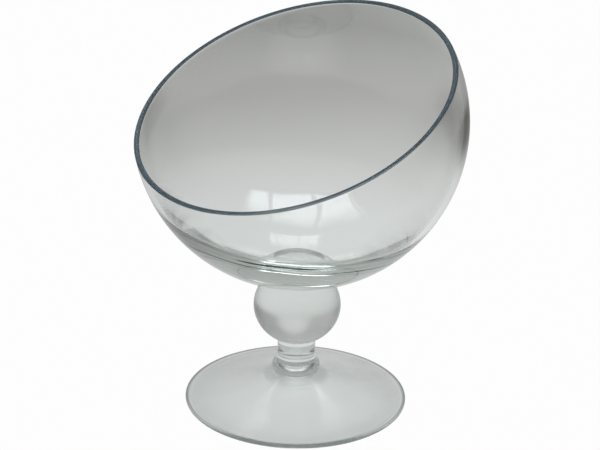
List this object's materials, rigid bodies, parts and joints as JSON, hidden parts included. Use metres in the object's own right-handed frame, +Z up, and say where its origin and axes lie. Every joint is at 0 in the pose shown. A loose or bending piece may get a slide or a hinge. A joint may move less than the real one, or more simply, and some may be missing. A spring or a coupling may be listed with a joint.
{
  "type": "slant-cut glass pedestal bowl",
  "caption": "Round clear glass bowl cut off at a slant, on a solid ball stem with a short neck and collar and a wide round foot.",
  "frame": {"origin": "centre of the foot's flat resting ring, on the table", "axes": "+Z up along the stem's axis; the low side of the slanted opening faces -Y and its high side +Y; +X to the right when looking along +Y"},
  "size_m": [0.18, 0.1763, 0.2161],
  "materials": {
    "bowl_glass": "clear, faint grey-green",
    "knop_glass": "clear, faint grey-green, solid",
    "stem_glass": "clear, faint grey-green",
    "foot_glass": "clear, faint grey-green"
  },
  "bodies": {
    "root": {"bowl": "bowl_glass", "knop": "knop_glass", "neck": "stem_glass", "collar": "stem_glass", "foot": "foot_glass"}
  },
  "joints": []
}
